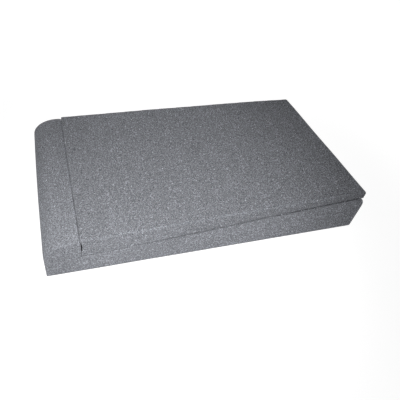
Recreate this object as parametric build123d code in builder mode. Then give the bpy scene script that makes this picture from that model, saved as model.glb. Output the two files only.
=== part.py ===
from build123d import *
import os

# Speaker isolation pad: a foam base with a raised lip at one end, and a loose foam wedge
# that lies on the base's sloping bed, between the lip and the far end.
#
# X runs along the pad from the lip end to the far end, Y across it and Z up.
# The origin is the centre of the underside. Lengths are in millimetres.

# Overall size, shared by both pieces
pad_length = 300.0
pad_width = 168.0

# Base: the raised lip
lip_width = 27.2  # from the lip end to the lip's inner wall
lip_height = 36.3
crown_drop = 17.6  # how far down the end face the rounding of the outer edge reaches
lip_flat = 2.4  # strip of the lip's top that stays level beside the inner wall
lip_inner_round = 1.8

# Base: the sloping bed
bed_low = 17.9  # thickness at the lip's inner wall
bed_high = 41.7  # thickness at the far end, before that edge is rounded
bed_edge_round = 11.0

# Wedge: its thicknesses stand straight up from the bed
wedge_thick = 20.0  # at the lip
wedge_thin = 8.4  # at the far end
wedge_setback = 4.2  # from the far end of the base to the wedge's nose
wedge_nose_round = 4.0  # the nose's upper edge
heel_relief_depth = 3.0  # cut off the lower corner of the thick end
heel_relief_height = 9.0

# Fits and edges
seat_gap = 0.6  # between the wedge's thick end and the lip
edge_soften = 1.0  # every other cut edge

# Places along the pad
lip_end = -pad_length / 2
far_end = pad_length / 2
inner_wall = lip_end + lip_width
crown_top = inner_wall - lip_flat
wedge_heel = inner_wall + seat_gap
wedge_nose = far_end - wedge_setback


def bed_height(x):
    """Height of the bed's plane at a place along the pad."""
    along = (x - inner_wall) / (far_end - inner_wall)
    return bed_low + (bed_high - bed_low) * along


def edges_across(part):
    """The edges that run straight across the pad, from one side face to the other."""
    return part.edges().filter_by(Axis.Y)


def nearest_edge(edges, x, z):
    """The one of these edges that lies nearest to a point of the side view."""
    return edges.sort_by_distance((x, 0, z))[0]


def side_outlines(part):
    """The edges around the pad's two side faces."""
    near_side = part.faces().sort_by(Axis.Y)[0]
    far_side = part.faces().sort_by(Axis.Y)[-1]
    return near_side.edges() + far_side.edges()


with BuildPart() as base:
    with BuildSketch(Plane.XZ):
        with BuildLine():
            EllipticalCenterArc(
                center=(crown_top, lip_height - crown_drop),
                x_radius=crown_top - lip_end,
                y_radius=crown_drop,
                start_angle=90,
                arc_size=90,
            )
            Polyline(
                (lip_end, lip_height - crown_drop),
                (lip_end, 0),
                (far_end, 0),
                (far_end, bed_high),
                (inner_wall, bed_low),
                (inner_wall, lip_height),
                (crown_top, lip_height),
            )
        make_face()
    extrude(amount=pad_width / 2, both=True)
    across = edges_across(base)
    fillet(nearest_edge(across, far_end, bed_high), bed_edge_round)
    fillet(nearest_edge(across, inner_wall, lip_height), lip_inner_round)
    fillet([nearest_edge(across, lip_end, 0), nearest_edge(across, far_end, 0)], edge_soften)
    fillet(side_outlines(base), edge_soften)
base.part.label = "base"

with BuildPart() as wedge:
    with BuildSketch(Plane.XZ):
        with BuildLine():
            Polyline(
                (wedge_heel + heel_relief_depth, bed_height(wedge_heel + heel_relief_depth)),
                (wedge_nose, bed_height(wedge_nose)),
                (wedge_nose, bed_height(wedge_nose) + wedge_thin),
                (wedge_heel, bed_height(wedge_heel) + wedge_thick),
                (wedge_heel, bed_height(wedge_heel) + heel_relief_height),
                close=True,
            )
        make_face()
    extrude(amount=pad_width / 2, both=True)
    across = edges_across(wedge)
    heel_top = nearest_edge(across, wedge_heel, bed_height(wedge_heel) + wedge_thick)
    nose_top = nearest_edge(across, wedge_nose, bed_height(wedge_nose) + wedge_thin)
    nose_foot = nearest_edge(across, wedge_nose, bed_height(wedge_nose))
    fillet(nose_top, wedge_nose_round)
    fillet([heel_top, nose_foot], edge_soften)
    fillet(side_outlines(wedge), edge_soften)
wedge.part.label = "wedge"

os.makedirs("parts", exist_ok=True)
export_step(base.part, "parts/base.step")
export_step(wedge.part, "parts/wedge.step")
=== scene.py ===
import math

import bpy
import numpy as np
from mathutils import Matrix, Vector, noise


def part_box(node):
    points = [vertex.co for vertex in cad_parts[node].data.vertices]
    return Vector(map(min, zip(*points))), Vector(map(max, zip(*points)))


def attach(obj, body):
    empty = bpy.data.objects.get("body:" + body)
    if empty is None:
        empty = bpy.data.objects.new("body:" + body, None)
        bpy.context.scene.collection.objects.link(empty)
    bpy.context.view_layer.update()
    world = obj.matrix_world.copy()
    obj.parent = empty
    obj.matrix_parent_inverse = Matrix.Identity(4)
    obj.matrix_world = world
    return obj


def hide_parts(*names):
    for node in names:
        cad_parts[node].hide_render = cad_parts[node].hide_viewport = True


# A speaker isolation pad of charcoal foam: a base with a raised lip, and a loose wedge on its
# sloping bed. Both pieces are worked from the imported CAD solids. Lengths are in millimetres, and
# MM turns them into Blender's metres.

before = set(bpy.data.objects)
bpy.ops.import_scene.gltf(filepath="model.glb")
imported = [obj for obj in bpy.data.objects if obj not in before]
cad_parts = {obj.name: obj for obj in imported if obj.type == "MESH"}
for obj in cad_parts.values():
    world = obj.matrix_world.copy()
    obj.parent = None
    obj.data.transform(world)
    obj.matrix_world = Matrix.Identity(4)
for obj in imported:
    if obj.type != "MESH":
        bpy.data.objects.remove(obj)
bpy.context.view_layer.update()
MM = 0.001

# ---------------------------------------------------------------- places on the CAD solids


def node_box(node):
    """The lowest and the highest corner of a CAD node."""
    low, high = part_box(node)
    return np.array(low) / MM, np.array(high) / MM


def widest_face(node, facing):
    """The normal of a CAD node's largest flat face that faces this way, and a point on it."""
    faces = [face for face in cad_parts[node].data.polygons if face.normal.dot(Vector(facing)) > 0.9]
    widest = max(faces, key=lambda face: face.area)
    return np.array(widest.normal), np.array(widest.center) / MM


base_low, base_high = node_box("base")
wedge_low, wedge_high = node_box("wedge")
LIP_END, FRONT, UNDERSIDE = base_low
FAR_END, BACK = base_high[:2]
HEEL = wedge_low[0]
NOSE = wedge_high[0]
HEEL_SPACE = 0.6  # between the CAD base's lip and the CAD wedge's heel
LIP_WALL = HEEL - HEEL_SPACE
seat_normal, seat_point = widest_face("wedge", (0, 0, -1))
top_normal, top_point = widest_face("wedge", (0, 0, 1))

# the ways out of the level and upright faces
OUT_FRONT = (0, -1, 0)
OUT_BACK = (0, 1, 0)
OUT_HEEL = (-1, 0, 0)
OUT_NOSE = (1, 0, 0)
OUT_UP = (0, 0, 1)
OUT_DOWN = (0, 0, -1)


def above_bed(points):
    """How far each point stands over the plane of the sloping bed, on which the wedge is seated."""
    return (seat_point - points) @ seat_normal


def under_top(points):
    """How far each point lies under the plane of the wedge's upper face."""
    return (top_point - points) @ top_normal


# ---------------------------------------------------------------- smooth fields


def smooth_step(value, start, end):
    """0 before the start and 1 after the end."""
    t = np.clip((value - start) / (end - start), 0, 1)
    return t * t * (3 - 2 * t)


def smooth_fall(value, start, end):
    """1 before the start and 0 after the end."""
    return 1 - smooth_step(value, start, end)


def smooth_span(value, start, top_start, top_end, end):
    """1 from top_start to top_end, and 0 before the start and after the end."""
    return smooth_step(value, start, top_start) * smooth_fall(value, top_end, end)


def bell(*distances):
    """1 where every distance is 0, and almost 0 where one of them is more than 2."""
    return np.exp(-sum(distance ** 2 for distance in distances))


def swell(points, length, offset):
    """Smooth heights from about -1 to 1 that vary over this length."""
    shift = Vector((offset, 2 * offset, 3 * offset))
    return np.array([noise.noise(Vector(p) + shift) for p in points / length])


def near_front(y, reach):
    """1 at the front side, and 0 this far behind it."""
    return smooth_fall(y, FRONT, FRONT + reach)


def on_joint(points, width):
    """1 on the joint's line along the front side, and almost 0 at twice this width from it."""
    return bell(above_bed(points) / width, (points[:, 1] - FRONT) / width)


# ---------------------------------------------------------------- mesh work

TINY = 1e-9  # what a divisor is at least
SAW_MARKS = (  # their height, their length, and where in the noise they are
    (0.22, 45.0, 0),
    (0.05, 12.0, 3),
    (0.02, 3.5, 7),
)
HOLD = 3.0  # how far from a held plane the saw marks are as high as elsewhere


def apply_modifiers(piece):
    """Makes the piece's mesh what its modifiers show, and takes the modifiers off."""
    ready = piece.evaluated_get(bpy.context.evaluated_depsgraph_get())
    mesh = bpy.data.meshes.new_from_object(ready)
    mesh.name = piece.name
    piece.modifiers.clear()
    piece.data = mesh


def even_mesh(node, name, cell):
    """A copy of a CAD node, divided evenly into cells of this size."""
    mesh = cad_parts[node].data.copy()
    mesh.materials.clear()
    piece = bpy.data.objects.new(name, mesh)
    bpy.context.scene.collection.objects.link(piece)
    weld = piece.modifiers.new("weld", "WELD")
    weld.merge_threshold = 0.001 * MM
    remesh = piece.modifiers.new("remesh", "REMESH")
    remesh.mode = "VOXEL"
    remesh.voxel_size = cell * MM
    smooth = piece.modifiers.new("smooth", "SMOOTH")
    smooth.factor = 0.5
    smooth.iterations = 1
    apply_modifiers(piece)
    return piece


def thin_out(piece, hidden, share):
    """Keeps this share of the piece's triangles. Those of the hidden flat faces go first."""
    group = piece.vertex_groups.new(name="hidden")
    group.add(np.flatnonzero(hidden).tolist(), 1.0, "REPLACE")
    decimate = piece.modifiers.new("decimate", "DECIMATE")
    decimate.ratio = share
    decimate.vertex_group = group.name
    decimate.vertex_group_factor = 10.0
    decimate.use_collapse_triangulate = True
    apply_modifiers(piece)
    piece.vertex_groups.clear()


def get_points(piece):
    """The piece's points and their normals."""
    mesh = piece.data
    points = np.zeros(len(mesh.vertices) * 3)
    mesh.vertices.foreach_get("co", points)
    normals = np.zeros(len(mesh.vertices) * 3)
    mesh.vertex_normals.foreach_get("vector", normals)
    return points.reshape(-1, 3) / MM, normals.reshape(-1, 3)


def finish_piece(piece, points, tone, hidden, share):
    """Gives the piece its points and its tone, and thins out what is hidden.

    The tone is for the material. It says how light the foam is drawn at each point, painted light and painted
    shade included: 1 is the plain colour.
    """
    piece.data.vertices.foreach_set("co", (points * MM).ravel())
    piece.data.update()
    attribute = piece.data.attributes.new("tone", "FLOAT", "POINT")
    attribute.data.foreach_set("value", tone.astype(np.float32))
    thin_out(piece, hidden, share)
    piece.data.shade_smooth()


def hand_cut(points, normals, held, offset):
    """Moves the surface in and out a little, as a saw leaves foam.

    Each held plane is given by its normal and by how far each point is from it. Points on it aren't
    moved through it, and points up to HOLD away are moved less.
    """
    height = sum(rise * swell(points, length, offset + apart) for rise, length, apart in SAW_MARKS)
    move = normals * height[:, None]
    for normal, depth in held:
        through = (move @ np.array(normal)) * smooth_fall(np.abs(depth), 0, HOLD)
        move -= through[:, None] * np.array(normal)
    return points + move


def fill_corner(points, depth_a, normal_a, depth_b, normal_b, reach, amount):
    """Moves the points of a rounded edge out towards the square corner of its two faces.

    The depths are how far each point lies under the two faces, and the normals point out of them.
    Points within this reach of both faces are moved. An amount of 1 makes the corner square.
    """
    a = np.clip(reach - depth_a, 0, None)
    b = np.clip(reach - depth_b, 0, None)
    longer = np.maximum(np.maximum(a, b), TINY)
    stretch = (np.hypot(a, b) / longer - 1) * amount
    out_a = np.clip(np.minimum(a * stretch, depth_a), 0, None)
    out_b = np.clip(np.minimum(b * stretch, depth_b), 0, None)
    return points + out_a[:, None] * np.array(normal_a) + out_b[:, None] * np.array(normal_b)


def round_corner(points, depth_a, normal_a, depth_b, normal_b, radius):
    """Rounds the corner of two faces. The depths and the normals are as for fill_corner."""
    a = np.clip(radius - depth_a, 0, None)
    b = np.clip(radius - depth_b, 0, None)
    reach = np.hypot(a, b)
    share = np.clip(1 - radius / np.maximum(reach, TINY), 0, None)
    return points - (a * share)[:, None] * np.array(normal_a) - (b * share)[:, None] * np.array(normal_b)


# ---------------------------------------------------------------- foam


def empty_tree(owner):
    """The node tree of a material or a world, with nothing in it."""
    owner.use_nodes = True
    owner.node_tree.nodes.clear()
    return owner.node_tree


def add_node(tree, kind, inputs, operation=None):
    """A new node. Each of these inputs is given a value, or another node's output."""
    node = tree.nodes.new(kind)
    if operation:
        node.operation = operation
    for socket, value in inputs.items():
        if isinstance(value, bpy.types.NodeSocket):
            tree.links.new(value, node.inputs[socket])
        else:
            node.inputs[socket].default_value = value
    return node


FOAM_COLOUR = (0.1958, 0.2025, 0.2205)
COARSE_CELLS = 0.85  # sizes of the foam's two layers of cells
FINE_CELLS = 0.5
MEAN_TONE = 0.9  # of the cells
GRAIN = 1.03  # how strongly the cells show in the middle of the pad
GRAIN_SLOPE = (0.00125, 0.0016, 0)  # and how much more for each millimetre to the far end and to the back
SPECKS = 3.3  # how far apart the pale specks are, the dark pits and the painted glints
PITS = 4.1
PAINTED_GLINTS = 6.5


def foam_material():
    """Open-cell charcoal foam, cut through its cells."""
    mat = bpy.data.materials.new("charcoal_foam")
    tree = empty_tree(mat)
    coords = add_node(tree, "ShaderNodeTexCoord", {})
    to_mm = add_node(tree, "ShaderNodeVectorMath", {0: coords.outputs["Object"], "Scale": 1 / MM}, "SCALE")
    place = to_mm.outputs[0]

    def combine(operation, a, b):
        return add_node(tree, "ShaderNodeMath", {0: a, 1: b}, operation).outputs[0]

    def cells(size):
        """How far each place is from the middle of its cell, in cell sizes."""
        inputs = {"Vector": place, "Scale": 1 / size}
        return add_node(tree, "ShaderNodeTexVoronoi", inputs).outputs["Distance"]

    def cloud(size):
        """Soft blotches of about this size, from 0 to 1."""
        inputs = {"Vector": place, "Scale": 1 / size}
        return add_node(tree, "ShaderNodeTexNoise", inputs).outputs["Fac"]

    def ramp(value, low, high, out_low, out_high):
        """Turns low and what is under it into out_low, and high and what is over it into out_high."""
        inputs = {"Value": value, "From Min": low, "From Max": high, "To Min": out_low, "To Max": out_high}
        return add_node(tree, "ShaderNodeMapRange", inputs).outputs["Result"]

    # the middle of a cell is its dark hollow, and its walls are light
    tone = ramp(cells(COARSE_CELLS), 0.1, 0.9, 0.09, 1.76)
    tone = combine("MULTIPLY", tone, ramp(cells(FINE_CELLS), 0.1, 0.9, 0.42, 1.48))
    tone = combine("MULTIPLY", tone, ramp(cloud(2.2), 0.3, 0.7, 0.97, 1.03))

    # the cells show more towards the far end and the back
    along = add_node(tree, "ShaderNodeVectorMath", {0: place, 1: GRAIN_SLOPE}, "DOT_PRODUCT")
    grain = combine("ADD", along.outputs["Value"], GRAIN)
    above_mean = combine("SUBTRACT", tone, MEAN_TONE)
    tone = combine("ADD", combine("MULTIPLY", above_mean, grain), MEAN_TONE)

    tone = combine("MULTIPLY", tone, ramp(cloud(14.0), 0.3, 0.7, 0.98, 1.02))
    # the tone attribute: the patches of the foam's tone, with painted light and painted shade
    tone_and_painted_light = add_node(tree, "ShaderNodeAttribute", {})
    tone_and_painted_light.attribute_name = "tone"
    tone = combine("MULTIPLY", tone, tone_and_painted_light.outputs["Fac"])
    tone = combine("ADD", tone, ramp(cells(SPECKS), 0.07, 0.16, 0.55, 0.0))
    tone = combine("SUBTRACT", tone, ramp(cells(PITS), 0.08, 0.2, 0.35, 0.0))

    # painted glints: a few pale specks in the colour stand for cell walls that catch the light
    painted_glint = combine("MULTIPLY", ramp(cells(PAINTED_GLINTS), 0.04, 0.09, 2.6, 0.0), grain)
    shade = combine("ADD", tone, painted_glint)
    colour = add_node(tree, "ShaderNodeVectorMath", {0: FOAM_COLOUR, "Scale": shade}, "SCALE")
    relief = add_node(tree, "ShaderNodeBump", {"Strength": 0.5, "Distance": 0.12 * MM, "Height": tone})
    shader = add_node(tree, "ShaderNodeBsdfPrincipled", {
        "Base Color": colour.outputs[0],
        "Roughness": 0.95,
        "Specular IOR Level": 0.15,
        "Normal": relief.outputs["Normal"],
    })
    add_node(tree, "ShaderNodeOutputMaterial", {"Surface": shader.outputs[0]})
    return mat


# ---------------------------------------------------------------- edges, joints, tone, and painted light and shade

CELL = 0.85  # of the even meshes
SNAP = 0.4  # how far from its flat face a point of the even mesh can lie
CORNER = 1.3  # how far from an edge the even mesh rounds it
SQUARED = 0.9  # how square a clean edge is
BASE_MARKS = 11.0  # where in the noise each piece's saw marks are
WEDGE_MARKS = 29.0
BASE_SHARE = 0.42  # how much of each piece's triangles is kept
WEDGE_SHARE = 0.64
MARGIN = 3  # how far within its edges a hidden face may be thinned out

# sizes of the CAD solids that their boxes don't give
RELIEF_TOP = 27.2  # the height at which the cut below the wedge's heel begins
RELIEF_DEPTH = 3.0  # how deep it goes
RELIEF_SLOPE = 3.0  # and how far down it gets one millimetre deeper
BED_ROUND = 11.0  # radius of the bed's far edge, under the wedge's nose
CROWN_LENGTH = 24.8  # the lip's crown is a quarter of an oval: this is its half length
CROWN_DROP = 17.6  # and this is its half height

# the joints between the two pieces
TOUCH = 0.06  # the least space between them
FAR_OFF = 100.0  # stands for a plane that is too far away to hold a point
LIP_FOOT = 20  # the height above which the lip leans on the wedge's heel
FRONT_LEAN = 0.38  # how much further it leans at the front side
SLOT_WIDTH = 0.8
SLOT_DEPTH = 13  # how far the slot runs in from the front side
SLOT_HEIGHTS = (23.4, 26.3, 32.2, 36.4)  # it begins to open, is open, begins to close and is closed
HEEL_TOP = 37  # height of the heel joint on the upper side
JOINT_GAP = 0.16  # how far the front joint opens
JOINT_WIDTH = 0.8  # and how wide its painted shade is
SETTLED = 0.6  # how far the wedge's nose follows the bed's rounded edge: 1 is all the way

# how far the hand-cut blocks are from square
FOOT_ROUND = 2.5  # radius of the far end's lower edge
FRONT_BOW = 0.25  # how far the front side draws back at the joint
END_BOW = 0.8  # how far the lip's end bows out, and how much more by the front
END_SKEW = 0.42
BACK_BOW = 0.45  # how far the wedge's back edge bows out, and up
BACK_RISE = 0.56
NOSE_BOW = 0.25

DENTS = (  # x, y, depth, radius, and how much painted shade darkens them
    (-114.5, 29.1, 0.5, 2.1, 0.45),
    (-104.0, 60.1, 0.4, 1.8, 0.35),
)
PATCHES = (  # paler and darker patches of the foam's tone: x, y, z, reach, and how much paler
    (-104, -74, 38, 14, 0.065),
    (-84, 82, 40, 22, 0.075),
    (5, 53, 43, 12, 0.035),
    (34, 66, 45, 15, 0.06),
    (92, 83, 47, 20, -0.07),
    (136, 62, 49, 12, -0.035),
    (100, -60, 47, 12, -0.03),
    (-30, 8, 42, 38, -0.025),
    (50, -84, 32, 34, 0.035),
    (-127, -86, 26, 9, 0.065),
    (-147, -86, 18, 10, -0.035),
    (-124, -28, 36, 7, 0.04),
    (-138, -15, 33, 8, -0.03),
    (-144, 46, 26, 16, -0.05),
)


def patches(points):
    """The tone of the foam's paler and darker patches, as a factor."""
    tone = np.ones(len(points))
    for x, y, z, reach, paler in PATCHES:
        apart = np.linalg.norm(points - (x, y, z), axis=1)
        tone *= 1 + paler * bell(apart / reach)
    return tone


# the heel joint, between the lip's inner wall and the wedge's heel


def lip_wall(points):
    """Where the lip's inner wall stands: it leans on the wedge's heel, most of all at the front."""
    y, z = points.T[1:]
    by_front = near_front(y, 14)
    foot = LIP_FOOT - 2 * by_front
    lean = HEEL_SPACE * smooth_step(z, foot, foot + 6 - 3 * by_front)
    return LIP_WALL + lean + FRONT_LEAN * by_front * (1 - 0.9 * smooth_step(z, 31, 36))


def slot_height(z):
    """1 at the heights where the slot is open, and 0 above and below it."""
    return smooth_span(z, *SLOT_HEIGHTS)


def heel_gap(points):
    """The space between the lip's inner wall and the wedge's heel: a short slot open to the front."""
    y, z = points.T[1:]
    return TOUCH + SLOT_WIDTH * near_front(y, SLOT_DEPTH) * slot_height(z)


def heel_cut(z):
    """Where the CAD heel stands at these heights: its lower part is cut back."""
    return HEEL + np.clip((RELIEF_TOP - z) / RELIEF_SLOPE, 0, RELIEF_DEPTH)


def heel_face(points):
    """Where the wedge's heel stands. Just behind the front side the soft foam fills the cut."""
    y, z = points.T[1:]
    behind = y - FRONT
    filled = (0.85 + 0.1 * smooth_step(behind, 0, 2)) * smooth_fall(behind, 14, 24)
    cut = HEEL + (heel_cut(z) - HEEL) * (1 - filled)
    return np.maximum(lip_wall(points) + heel_gap(points), cut)


def painted_slot_shade(points):
    """How much painted shade darkens the foam inside the slot."""
    x, y, z = points.T
    inside = smooth_span(y - FRONT, 0, 1, 8, SLOT_DEPTH)
    shade = 1.2 * inside * slot_height(z) * bell(x - lip_wall(points) - 0.5)
    return np.clip(shade, 0, 0.97)


def painted_heel_light(points):
    """How much painted light lifts the shade of the heel joint, where the photo hardly shows the joint."""
    x, y, z = points.T
    above_slot = 0.95 * smooth_step(y, FRONT, FRONT + 2) * near_front(y, 9)
    above_slot *= bell((x - LIP_WALL - 0.2) / 1.1, (z - HEEL_TOP) / 1.5)
    below_slot = 0.3 * near_front(y, 1) * smooth_fall(z, 24, 26) * bell((x - lip_wall(points)) / 0.8)
    by_back = 0.12 * smooth_step(y, 25, 50) * bell((x - LIP_WALL - 0.4) / 1.2, (z - HEEL_TOP) / 1.5)
    return above_slot + below_slot + by_back


# the front joint, between the bed and the wedge's seat


def seat_gap(points):
    """The space under the wedge: it opens a little along the front, but not by the nose."""
    x, y = points.T[:2]
    return TOUCH + JOINT_GAP * smooth_span(x, -90, 60, 110, NOSE) * near_front(y, 5)


def foot_square(x):
    """How square the wedge's lower front edge is: the joint closes up near the lip and the nose."""
    return 1 - 0.4 * smooth_span(x, -110, -30, 100, 130)


def painted_joint_shade(points):
    """How much painted shade darkens the foam along the front joint: not at all by the lip, and most at the
    nose.
    """
    x = points[:, 0]
    share = 0.5 * smooth_step(x, -115, -30) + 0.25 * smooth_step(x, 40, 70)
    share *= 1 + 0.5 * swell(points, 5.0, 17)
    return np.clip(share, 0, 0.85) * on_joint(points, JOINT_WIDTH)


def painted_joint_evening(points):
    """How much painted light on the wedge's side and painted shade on the base's side even out the front
    joint by the lip, where the photo doesn't show it.
    """
    return 0.12 * smooth_fall(points[:, 0], -100, -70) * on_joint(points, JOINT_WIDTH)


def painted_foot_shade(points):
    """How much painted shade darkens the wedge's front side just above the joint, and how much painted light
    makes it paler before the nose.
    """
    x, y = points.T[:2]
    over = above_bed(points)
    by_nose = 0.06 * smooth_step(x, 95, 118) * bell((over - 3.2) / 1.8)
    middle = 0.035 * smooth_span(x, -50, -35, -15, 0) * bell((over - 4.2) / 1.6)
    before_nose = 0.06 * smooth_span(x, 40, 60, 100, 115) * bell((over - 1.5) / 0.9)
    return (by_nose + middle - before_nose) * near_front(y, 2)


def front_bow(x):
    """How far the front side draws back at the joint: more so away from the lip."""
    return FRONT_BOW * smooth_step(x, -20, 60)


# ---------------------------------------------------------------- the base


def square_lip(points, lip_top):
    """Squares the rounded edges that the lip's end and crown make with the front and back sides."""
    x, y, z = points.T
    along = np.clip((LIP_END + CROWN_LENGTH - x) / CROWN_LENGTH, 0, None)
    up = np.clip((z - lip_top + CROWN_DROP) / CROWN_DROP, 0, None)
    reach = np.maximum(np.hypot(along, up), TINY)
    slope = np.stack([-along / CROWN_LENGTH, np.zeros_like(x), up / CROWN_DROP], axis=1) / reach[:, None]
    steepness = np.maximum(np.linalg.norm(slope, axis=1), TINY)
    depth = (1 - reach) / steepness
    out = slope / steepness[:, None]
    on_lip = (x < LIP_WALL - 1) * smooth_step(z, 6, 14)
    points = fill_corner(points, depth, out, y - FRONT, OUT_FRONT, CORNER, 0.8 * on_lip)
    on_lip *= 0.6 - 0.3 * smooth_step(x, -135, -125)
    return fill_corner(points, depth, out, BACK - y, OUT_BACK, CORNER, on_lip)


def square_base(points, lip_top):
    """Squares the edges that the even mesh has rounded, and rounds the far end's lower edge."""
    x, y, z = points.T
    points = fill_corner(points, -above_bed(points), -seat_normal, y - FRONT, OUT_FRONT, CORNER, x > HEEL)
    for inward, outward in ((y - FRONT, OUT_FRONT), (BACK - y, OUT_BACK), (x - LIP_END, OUT_HEEL)):
        points = fill_corner(points, z - UNDERSIDE, OUT_DOWN, inward, outward, CORNER, SQUARED)
    points = round_corner(points, points[:, 2] - UNDERSIDE, OUT_DOWN, FAR_END - x, OUT_NOSE, FOOT_ROUND)

    # the edges of the lip's inner wall
    x, y, z = points.T
    by_top = (x < LIP_WALL + 0.1) & (z > lip_top - 3)
    points = fill_corner(points, lip_top - z, OUT_UP, LIP_WALL - x, OUT_NOSE, 1.8, SQUARED * by_top)
    x, y, z = points.T
    by_wall = (x < LIP_WALL + 0.1) & (above_bed(points) > 1)
    points = fill_corner(points, LIP_WALL - x, OUT_NOSE, y - FRONT, OUT_FRONT, CORNER, SQUARED * by_wall)
    return square_lip(points, lip_top)


def base_tone_and_painted_light(points, normals, lip_top):
    """How light the base's foam is drawn. Painted light makes the lip's top paler where it faces up, most of
    all by the front and along the joint.
    """
    x, y, z = points.T
    pale = 0.06 + 0.07 * smooth_fall(y, FRONT + 10, FRONT + 40) + 0.05 * smooth_fall(y, -40, 15)
    along_heel = (0.18 - 0.1 * smooth_step(y, -35, -15)) * smooth_step(y, FRONT, FRONT + 6)
    pale += along_heel * bell((x - LIP_WALL + 2.2) / 1.5)
    tone = 1 + pale * smooth_step(normals[:, 2], 0.6, 0.95) * (x < LIP_WALL + 0.5)

    # painted light makes the lip's end paler by the front and the far half paler, and painted shade darkens
    # the corner by the slot
    tone += 0.15 * smooth_fall(x, LIP_END, LIP_END + 7) * smooth_fall(y, -35, -10)
    tone -= 0.2 * bell((x - LIP_WALL + 0.8) / 1.6, (y - FRONT) / 1.6, (z - lip_top) / 1.6)
    tone += 0.06 * smooth_step(x, -60, 20)
    tone *= patches(points)

    # the front side is paler below the heel, and painted shade darkens it along the joint by the nose
    tone *= 1 + 0.045 * (smooth_step(x, -128, -120) - smooth_step(x, -90, -60)) * near_front(y, 2)
    tone *= 1 - 0.22 * smooth_step(x, 95, 125) * on_joint(points, 1.8)

    # painted shade in the two joints, and painted light and shade that even them out
    tone *= 1 - painted_joint_shade(points) * (x > HEEL)
    tone *= 1 - 0.6 * painted_joint_evening(points) * (x > HEEL)
    tone *= 1 - painted_slot_shade(points)
    tone *= 1 + painted_heel_light(points) * (above_bed(points) > 0)
    return tone


def make_base():
    piece = even_mesh("base", "foam_base", CELL)
    points, normals = get_points(piece)

    # the even mesh is a little off the flat faces
    on_bed = (normals @ -seat_normal > 0.95) & (np.abs(above_bed(points)) < SNAP)
    on_bed &= (points[:, 0] > HEEL) & (points[:, 0] < FAR_END - BED_ROUND)
    on_wall = (normals[:, 0] > 0.9) & (np.abs(points[:, 0] - LIP_WALL) < SNAP)
    under = normals[:, 2] < -0.95
    points += on_bed[:, None] * above_bed(points)[:, None] * seat_normal
    points[on_wall, 0] = LIP_WALL
    points[under, 2] = UNDERSIDE

    lip_top = points[points[:, 0] < LIP_WALL, 2].max()
    points = square_base(points, lip_top)
    x, y, z = points.T
    to_bed = np.where(x > LIP_WALL, above_bed(points), FAR_OFF)
    to_wall = np.where(above_bed(points) > -1, x - LIP_WALL, FAR_OFF)
    held = ((seat_normal, to_bed), (OUT_NOSE, to_wall), (OUT_DOWN, z - UNDERSIDE))
    points = hand_cut(points, normals, held, BASE_MARKS)
    tone = base_tone_and_painted_light(points, normals, lip_top)

    # the lip leans towards the wedge
    x, y, z = points.T
    lean = (lip_wall(points) - LIP_WALL) * smooth_step(x, LIP_WALL - 8, LIP_WALL)
    points[:, 0] += lean * (x < LIP_WALL + 0.3) * (above_bed(points) > 0.5)

    # the lip's end bows out between its corners, more so towards the front
    across = 1 - ((y - (FRONT + BACK) / 2) / (BACK - FRONT) * 2) ** 2
    skew = smooth_fall(y, -80, 15) * smooth_step(y, FRONT - 2, FRONT + 8)
    points[:, 0] -= (END_BOW * across + END_SKEW * skew) * smooth_fall(x, LIP_END, LIP_END + 20)

    # the front side draws back below the joint
    under_bed = np.clip(-above_bed(points), 0, None)
    points[:, 1] += front_bow(x) * smooth_fall(under_bed, 0, 9) * near_front(y, 12)

    between = (y > FRONT + MARGIN) & (y < BACK - MARGIN)
    covered = on_bed & between & (x > HEEL + MARGIN) & (x < FAR_END - BED_ROUND - 5)
    resting = under & between & (x > LIP_END + MARGIN) & (x < FAR_END - MARGIN)
    finish_piece(piece, points, tone, covered | resting, BASE_SHARE)
    return piece


# ---------------------------------------------------------------- the wedge


def square_wedge(points):
    """Squares the edges that the even mesh has rounded, and rounds the nose's upright edge at the front."""
    x, y, z = points.T
    points = fill_corner(points, above_bed(points), seat_normal, y - FRONT, OUT_FRONT, CORNER, foot_square(x))
    x, y, z = points.T
    amount = 0.6 + 0.4 * near_front(y, 5)
    points = fill_corner(points, under_top(points), top_normal, x - HEEL, OUT_HEEL, CORNER, amount)
    x, y, z = points.T
    points = fill_corner(points, x - heel_cut(z), OUT_HEEL, y - FRONT, OUT_FRONT, CORNER, SQUARED)
    x, y, z = points.T
    points = fill_corner(points, under_top(points), top_normal, y - FRONT, OUT_FRONT, CORNER, 0.6 * (x < 20))

    # at the back side
    x, y, z = points.T
    amount = SQUARED * smooth_fall(x, -118, -85)
    points = fill_corner(points, x - HEEL, OUT_HEEL, BACK - y, OUT_BACK, CORNER, 0.1 * (z > RELIEF_TOP))
    points = fill_corner(points, under_top(points), top_normal, BACK - y, OUT_BACK, CORNER, amount)

    # at the nose
    x, y, z = points.T
    points = fill_corner(points, above_bed(points), seat_normal, NOSE - x, OUT_NOSE, CORNER, SQUARED)
    x, y, z = points.T
    radius = 0.3 + 1.2 * smooth_step(above_bed(points), 2.5, 7)
    return round_corner(points, NOSE - x, OUT_NOSE, y - FRONT, OUT_FRONT, radius)


def wedge_tone_and_painted_light(points):
    """How light the wedge's foam is drawn, with painted shade and painted light along its joints and its
    front side, and its patches.
    """
    x, y, z = points.T
    tone = (1 - painted_joint_shade(points)) * (1 + 1.8 * painted_joint_evening(points))
    tone *= (1 - painted_slot_shade(points)) * (1 + painted_heel_light(points))
    tone *= (1 - painted_foot_shade(points)) * patches(points)

    # painted shade darkens the front side past the heel, and a spot below the slot
    tone *= 1 - 0.075 * smooth_step(x, -60, -30) * near_front(y, 2)
    tone *= 1 - 0.15 * bell((x - HEEL - 2.6) / 1.8, (z - 22) / 2.5) * near_front(y, 2)
    return tone


def seat_lift(points):
    """How far the wedge's lower part is lifted off the bed. The nose settles over the bed's rounded edge."""
    over = above_bed(points)
    beyond = np.clip(points[:, 0] - (FAR_END - BED_ROUND), 0, None)
    settled = SETTLED * (BED_ROUND - np.sqrt(BED_ROUND ** 2 - beyond ** 2))
    return seat_gap(points) * smooth_fall(over, 0, 3) - settled * smooth_fall(over, 0, 6)


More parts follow.
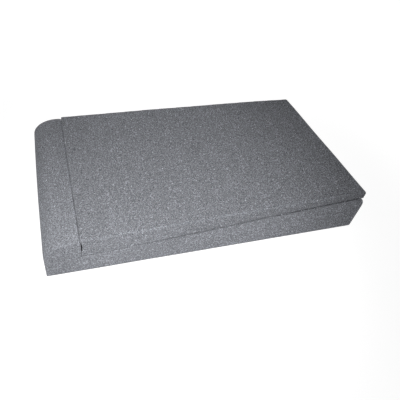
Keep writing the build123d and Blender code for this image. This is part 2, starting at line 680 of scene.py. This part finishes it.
def back_bow(points):
    """How the back edge bows out and up between its ends, and the nose outwards."""
    x, y = points.T[:2]
    along = 1 - (2 * (x - (HEEL + NOSE) / 2) / (NOSE - HEEL)) ** 4
    towards_back = smooth_step(y, BACK - 30, BACK)
    out = NOSE_BOW * smooth_step(x, NOSE - 30, NOSE)
    back = BACK_BOW * along * towards_back
    up = (BACK_RISE * along - 0.25 * smooth_step(x, 100, 140)) * towards_back
    up *= smooth_step(above_bed(points), 2, 8)
    return np.stack([out, back, up], axis=1)


def make_wedge():
    piece = even_mesh("wedge", "foam_wedge", CELL)
    points, normals = get_points(piece)

    # the even mesh is a little off the flat faces
    seated = (normals @ seat_normal > 0.95) & (np.abs(above_bed(points)) < SNAP)
    on_heel = (normals[:, 0] < -0.9) & (np.abs(points[:, 0] - heel_cut(points[:, 2])) < SNAP)
    points += seated[:, None] * above_bed(points)[:, None] * seat_normal
    points[on_heel, 0] = heel_cut(points[on_heel, 2])

    points = square_wedge(points)
    held = ((seat_normal, above_bed(points)), (OUT_HEEL, points[:, 0] - heel_cut(points[:, 2])))
    points = hand_cut(points, normals, held, WEDGE_MARKS)
    tone = wedge_tone_and_painted_light(points)

    # the heel stands against the lip, and the seat on the bed
    x, y, z = points.T
    shift = heel_face(points) - heel_cut(z)
    points[:, 0] += shift * smooth_fall(x, heel_cut(z), heel_cut(z) + 8)
    points -= seat_lift(points)[:, None] * seat_normal

    # the back edge bows, and the front side draws back above the joint
    over = np.clip(above_bed(points), 0, None)
    points += back_bow(points)
    fade = 3 + 3 * smooth_step(x, 60, 120)
    points[:, 1] += front_bow(x) * (1.4 * np.exp(-over / fade) - 0.4) * near_front(y, 12)

    # two small dents near the lip, darkened with painted shade
    for place_x, place_y, depth, radius, shade in DENTS:
        dent = bell((x - place_x) / radius, (y - place_y) / radius) * smooth_step(over, 2, 8)
        points[:, 2] -= depth * dent
        tone *= 1 - shade * dent

    between = (y > FRONT + MARGIN) & (y < BACK - MARGIN)
    covered = seated & between & (x > HEEL + 2 * MARGIN) & (x < NOSE - MARGIN)
    finish_piece(piece, points, tone, covered, WEDGE_SHARE)
    return piece


foam = foam_material()
foam_base = make_base()
foam_wedge = make_wedge()
for piece, node in ((foam_base, "base"), (foam_wedge, "wedge")):
    piece.data.materials.append(foam)
    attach(piece, "root")
    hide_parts(node)

# ---------------------------------------------------------------- floor and surroundings

FLOOR_RADIUS = 1600
FLOOR_DROP = 0.2  # how far the floor lies under the pad, so that the two don't flicker
FLOOR_GLOW = 0.86  # of the floor by the pad: it rises to 1, which is white
GLOW_START = 160  # how far from the middle it starts to rise, and where it is white
GLOW_END = 420
AMBIENT = 0.065  # strength of the light from all around


def seen_directly(tree):
    """1 for a ray from the camera, a mirror or clear glass, and 0 for the light that falls on things."""
    path = add_node(tree, "ShaderNodeLightPath", {})
    total = path.outputs["Is Camera Ray"]
    for kind in ("Is Glossy Ray", "Is Transmission Ray"):
        total = add_node(tree, "ShaderNodeMath", {0: total, 1: path.outputs[kind]}, "MAXIMUM").outputs[0]
    return total


def mix_shaders(tree, share, none, whole):
    """The first of the two shaders where the share is 0, and the second where it is 1."""
    return add_node(tree, "ShaderNodeMixShader", {0: share, 1: none.outputs[0], 2: whole.outputs[0]})


def make_floor():
    """A plain pale floor. It is seen a little brighter than it is, and white away from the pad."""
    bpy.ops.mesh.primitive_circle_add(vertices=96, radius=FLOOR_RADIUS * MM, fill_type="NGON")
    floor = bpy.context.object
    floor.name = "floor"
    floor.location.z = (UNDERSIDE - FLOOR_DROP) * MM
    mat = bpy.data.materials.new("white_floor")
    tree = empty_tree(mat)
    coords = add_node(tree, "ShaderNodeTexCoord", {})
    reach = add_node(tree, "ShaderNodeVectorMath", {0: coords.outputs["Object"]}, "LENGTH")
    fade = add_node(tree, "ShaderNodeMapRange", {
        "Value": reach.outputs["Value"],
        "From Min": GLOW_START * MM,
        "From Max": GLOW_END * MM,
        "To Min": FLOOR_GLOW,
        "To Max": 1.0,
    })
    fade.interpolation_type = "SMOOTHSTEP"
    glow = add_node(tree, "ShaderNodeEmission", {"Strength": fade.outputs["Result"]})
    lit = add_node(tree, "ShaderNodeBsdfDiffuse", {"Color": (0.3, 0.3, 0.3, 1)})
    shown = add_node(tree, "ShaderNodeAddShader", {0: glow.outputs[0], 1: lit.outputs[0]})
    bounce = add_node(tree, "ShaderNodeBsdfDiffuse", {"Color": (0.55, 0.55, 0.555, 1)})
    mix = mix_shaders(tree, seen_directly(tree), bounce, shown)
    add_node(tree, "ShaderNodeOutputMaterial", {"Surface": mix.outputs[0]})
    floor.data.materials.append(mat)


def make_world():
    """A white surround that gives only a dim light."""
    world = bpy.data.worlds.new("studio")
    bpy.context.scene.world = world
    tree = empty_tree(world)
    dim = add_node(tree, "ShaderNodeBackground", {"Color": (1, 1, 1, 1), "Strength": AMBIENT})
    white = add_node(tree, "ShaderNodeBackground", {"Color": (1, 1, 1, 1), "Strength": 1.0})
    mix = mix_shaders(tree, seen_directly(tree), dim, white)
    add_node(tree, "ShaderNodeOutputWorld", {"Surface": mix.outputs[0]})


def add_lamp(name, kind, place, target, watts):
    """A lamp at a place, turned to a target, that the camera doesn't see. Gives its light, to be shaped."""
    light = bpy.data.lights.new(name, kind)
    light.energy = watts
    lamp = bpy.data.objects.new(name, light)
    bpy.context.scene.collection.objects.link(lamp)
    lamp.location = Vector(place) * MM
    lamp.rotation_mode = "QUATERNION"
    lamp.rotation_quaternion = (Vector(target) - Vector(place)).to_track_quat("-Z", "Y")
    lamp.visible_camera = False
    return light


def area_light(name, place, target, size, watts):
    """A soft square lamp."""
    light = add_lamp(name, "AREA", place, target, watts)
    light.shape = "SQUARE"
    light.size = size * MM


def spot_light(name, place, target, radius, angle, watts):
    """A soft round beam that fades from its middle to its edge."""
    light = add_lamp(name, "SPOT", place, target, watts)
    light.shadow_soft_size = radius * MM
    light.spot_size = math.radians(angle)
    light.spot_blend = 1.0


MIDDLE = (0, 0, 25)
make_floor()
make_world()
spot_light("key", (-205, -408, 422), (-50, -65, 30), radius=70, angle=46.4, watts=19.23)
area_light("fill_left", (-700, -60, 90), MIDDLE, size=300, watts=1.2)
area_light("fill_right", (500, -600, 120), MIDDLE, size=300, watts=0.6)
area_light("fill_back", (60, 700, 90), MIDDLE, size=400, watts=1.6)
area_light("fill_far_end", (820, 60, 90), MIDDLE, size=400, watts=1.6)

# ---------------------------------------------------------------- camera

VIEW_ANGLES = (-27.261, 43.64, -12.454)  # in degrees: round from the front, up, and about the line of sight
AIM = (2.4, -21.34, 0)
VIEW_DISTANCE = 406.63
SENSOR = 36
LENS = 35.444


def make_camera():
    """A camera above the lip's corner of the front side, turned a little about its own line of sight."""
    azimuth, elevation, roll = (math.radians(angle) for angle in VIEW_ANGLES)
    aim = Vector(AIM) * MM
    back = Vector((
        math.sin(azimuth) * math.cos(elevation),
        -math.cos(azimuth) * math.cos(elevation),
        math.sin(elevation),
    ))
    level = back.cross(Vector((0, 0, -1))).normalized()
    downward = level.cross(back)
    right = math.cos(roll) * level + math.sin(roll) * downward
    down = math.cos(roll) * downward - math.sin(roll) * level
    data = bpy.data.cameras.new("camera")
    data.sensor_width = SENSOR
    data.lens = LENS
    data.clip_start = 10 * MM
    camera = bpy.data.objects.new("camera", data)
    bpy.context.scene.collection.objects.link(camera)
    turn = Matrix((right, -down, back)).transposed().to_4x4()
    camera.matrix_world = Matrix.Translation(aim + back * (VIEW_DISTANCE * MM)) @ turn
    bpy.context.scene.camera = camera


make_camera()
bpy.context.scene.view_settings.view_transform = "Standard"
